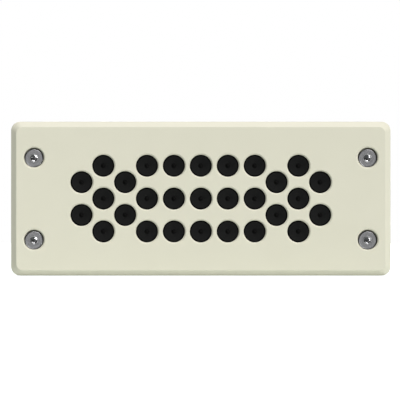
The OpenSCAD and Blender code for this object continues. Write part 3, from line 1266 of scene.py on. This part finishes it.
# %% Four screws with their threads
PITCH = 0.7 * MM
THREAD_DEPTH = 0.43 * MM
ROWS_A_TURN = 10
thread_length = SCREW_TIP - BACK
use_tree(
    screw_shape,
    rolled_thread,
    Around=SCREW_AROUND,
    Rows=round(thread_length / PITCH * ROWS_A_TURN),
    Start=BACK,
    Length=thread_length,
    Pitch=PITCH,
    Crest=THREAD_R,
    Root=THREAD_R - THREAD_DEPTH,
    Neck=NECK_R,
    Tip=TIP_R,
    Weld=WELD,
    Material=plated_steel,
)
settle(screw_shape)
screws_piece = new_piece("screws_turned", bmesh.new())
set_shape(screws_piece, screw_shape, screw_points, plated_steel)
settle(screws_piece)
put_away(screw_shape, screw_points)

# %% [markdown]
# ## Ride on the frame
# Nothing moves on this object, so there is one body, root. Each new piece stands for its CAD node,
# which stays in the frame for collision and isn't shown.

# %% Pieces stand for their nodes
for piece, node, slot in (
    (frame_piece, "frame_plate", "frame"),
    (mat_piece, "membrane_mat", "elastomer"),
    (screws_piece, "screws", "screw_steel"),
):
    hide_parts(node)
    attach(piece, "root")
    print(piece.name, "stands for", node)

# %% [markdown]
# ## White surroundings
# The plate stands in a plain white studio. White walls could be built, but they would throw so much
# light that the plate's colour would no longer come out as written. So the world is white to the
# camera and to mirrors, and lights the object only softly. A room is dimmer on the camera's side than
# behind the object, and flat metal that faces the camera mirrors that side, so what gloss and glass
# see fades towards the front.

# %% White surroundings
AMBIENT = 0.06
FRONT_SIDE = 0.25
SIDE_ENDS = (-0.5, 0.3)


def depth_of(tree, output):
    """The y part of a texture coordinate."""
    parts = tree.nodes.new("ShaderNodeSeparateXYZ")
    feed(tree, tree.nodes.new("ShaderNodeTexCoord").outputs[output], parts.inputs["Vector"])
    return parts.outputs["Y"]


def sees_white(tree, depth):
    """1 for rays from the camera, and for those from gloss and glass by how far back they look."""
    path = tree.nodes.new("ShaderNodeLightPath").outputs
    side = rescaled(tree, depth, FRONT_SIDE, 1, *SIDE_ENDS)
    from_mirror = calculated(tree, "MAXIMUM", path["Is Glossy Ray"], path["Is Transmission Ray"])
    in_mirror = calculated(tree, "MULTIPLY", from_mirror, side)
    return calculated(tree, "MAXIMUM", in_mirror, path["Is Camera Ray"])


world = bpy.data.worlds.new("white_studio")
world.use_nodes = True
bpy.context.scene.world = world
sky = world.node_tree
background = sky.nodes["Background"].inputs
background["Color"].default_value = (1, 1, 1, 1)
seen = sees_white(sky, depth_of(sky, "Generated"))
feed(sky, rescaled(sky, seen, AMBIENT, 1), background["Strength"])
print("ambient light:", AMBIENT)

# %% [markdown]
# ## Floor
# The plate stands on a pale floor, which keeps its shadow and throws a little light up at the lower
# bevel. The floor is lifted towards white for the camera and for mirrors in the same way as the world.
# It casts no shadow itself, because four of the lamps below stand lower than the floor.

# %% Floor
FLOOR_DROP = 0.1 * MM
FLOOR_R = 1.2
FLOOR_STEPS = 96
FLOOR_TONE = (0.70, 0.75, 0.73, 1)
FLOOR_ROUGHNESS = 0.9
FLOOR_SPECULAR = 0.1
FLOOR_LIFT = 0.6
SIDE_PER_METRE = 10
floor_mesh = bmesh.new()
bmesh.ops.create_circle(floor_mesh, cap_ends=True, segments=FLOOR_STEPS, radius=FLOOR_R)
bmesh.ops.translate(floor_mesh, vec=(0, 0, plate_low[2] - FLOOR_DROP), verts=floor_mesh.verts)
floor = new_piece("studio_floor", floor_mesh)
floor_paint, paint_tree, paint = new_material("floor_paint")
paint["Base Color"].default_value = FLOOR_TONE
paint["Roughness"].default_value = FLOOR_ROUGHNESS
paint["Specular IOR Level"].default_value = FLOOR_SPECULAR
paint["Emission Color"].default_value = (1, 1, 1, 1)
side = calculated(paint_tree, "MULTIPLY", depth_of(paint_tree, "Object"), SIDE_PER_METRE)
lift = calculated(paint_tree, "MULTIPLY", sees_white(paint_tree, side), FLOOR_LIFT)
feed(paint_tree, lift, paint["Emission Strength"])
floor.data.materials.append(floor_paint)
floor.visible_shadow = False
print("floor", round(FLOOR_DROP / MM, 1), "mm below the plate")

# %% [markdown]
# ## Light on the plate
# The top and right bevels are the lightest and the left one the darkest, so the main light comes from
# the right and above, in front of the plate. A light from above lifts the upper edges, and one from
# behind serves the back. Area lamps close by would shade the flat face from one end to the other.
# These are distant ones, which light it evenly: a strength of pi lights a white face that looks at
# the lamp to full brightness. The main lamp is kept out of mirrors, where it would wash out the heads
# of the screws.

# %% Lamps for the plate
def distant_lamp(name, towards, share, spread):
    """A sun that adds this share of full brightness to a white face turned towards it."""
    lamp = bpy.data.lights.new(name, "SUN")
    lamp.energy = share * math.pi
    lamp.angle = math.radians(spread)
    lamp.cycles.use_multiple_importance_sampling = towards[2] > 0
    lamp_object = bpy.data.objects.new(name, lamp)
    bpy.context.scene.collection.objects.link(lamp_object)
    lamp_object.location = towards
    lamp_object.rotation_euler = lamp_object.location.to_track_quat("Z", "Y").to_euler()
    return lamp_object


key_lamp = distant_lamp("key_lamp", (0.362, -0.515, 0.185), share=0.645, spread=22)
top_lamp = distant_lamp("top_lamp", (0.0, -0.20, 0.98), share=0.60, spread=30)
back_lamp = distant_lamp("back_lamp", (-0.35, 0.85, 0.33), share=0.40, spread=30)
key_lamp.visible_glossy = False
print("lamps for the plate:", key_lamp.name, top_lamp.name, back_lamp.name)

# %% [markdown]
# ## Glints in the screws
# Each socket shows a crescent of light at its upper right and a spot at its lower left. Both are lamps
# mirrored in the round hollow. A ball mirrors a lamp where its surface leans half as far as the lamp
# stands off the line of sight, and a hollow one turns the picture over. So each lamp is placed by where
# its glint lies: how far from the axis of the screw in mm, and at which turn against the clock from
# the right. Three lamps make the crescent, two the spot, and a weak wide one lifts the shade beside
# them. The last one's glint would lie outside the hollow: it lights the heads for views from the left.
# They would change the shading of the plate, so light linking lets them reach the screws alone.
# Cycles looks for a lamp in two ways, straight from a surface and along mirrored rays. The floor stops
# mirrored rays on their way to a lamp below it, so such a lamp uses only the first way.

# %% Lamps for the screws
GLINTS = (  # lamp, mm from the axis, turn, share of full brightness, spread in degrees
    ("left_gloss_lamp", 0.94, 12, 0.38, 15),
    ("lower_left_gloss_lamp", 1.09, 32, 0.80, 15),
    ("low_gloss_lamp", 1.16, 59, 1.15, 16),
    ("upper_right_gloss_lamp", 1.21, 240, 0.75, 17),
    ("top_gloss_lamp", 1.16, 268, 0.85, 16),
    ("soft_gloss_lamp", 0.62, 320, 0.08, 30),
    ("right_gloss_lamp", 1.44, 140, 0.40, 40),
)
only_screws = bpy.data.collections.new("only_screws")
only_screws.objects.link(screws_piece)
for name, from_axis, turn, share, spread in GLINTS:
    lean = 2 * math.asin(from_axis * MM / ball_r)
    across, up = along((0, 0), unit_at(turn), -math.sin(lean))
    lamp = distant_lamp(name, (across, -math.cos(lean), up), share, spread)
    lamp.light_linking.receiver_collection = only_screws
    print(name, "stands", round(math.degrees(lean)), "degrees off the line of sight")

# %% [markdown]
# ## Camera
# The picture looks straight at the front, with no visible perspective, so the camera stands far off
# with a long lens. The scale comes from the picture: 2.567 of its 400 pixels are a millimetre. The
# plate's middle lies a little right of and above the picture's middle.

# %% Camera
PICTURE_PX = 400
PX_PER_MM = 2.567
MIDDLE_PX = (200.8, 198.6)
CAMERA_DISTANCE = 1.6
CLIP_END = 10
camera_data = bpy.data.cameras.new("camera")
camera = bpy.data.objects.new("camera", camera_data)
bpy.context.scene.collection.objects.link(camera)
view_width = PICTURE_PX / PX_PER_MM * MM
camera_data.lens = camera_data.sensor_width * CAMERA_DISTANCE / view_width
camera_data.clip_end = CLIP_END
offset_x = (PICTURE_PX / 2 - MIDDLE_PX[0]) / PX_PER_MM * MM
offset_z = (MIDDLE_PX[1] - PICTURE_PX / 2) / PX_PER_MM * MM + RAISED
camera.location = (offset_x, FRONT - CAMERA_DISTANCE, offset_z)
camera.rotation_euler = (math.pi / 2, 0, 0)
bpy.context.scene.camera = camera
bpy.context.scene.view_settings.view_transform = "Standard"
print("lens in mm:", round(camera_data.lens, 1))
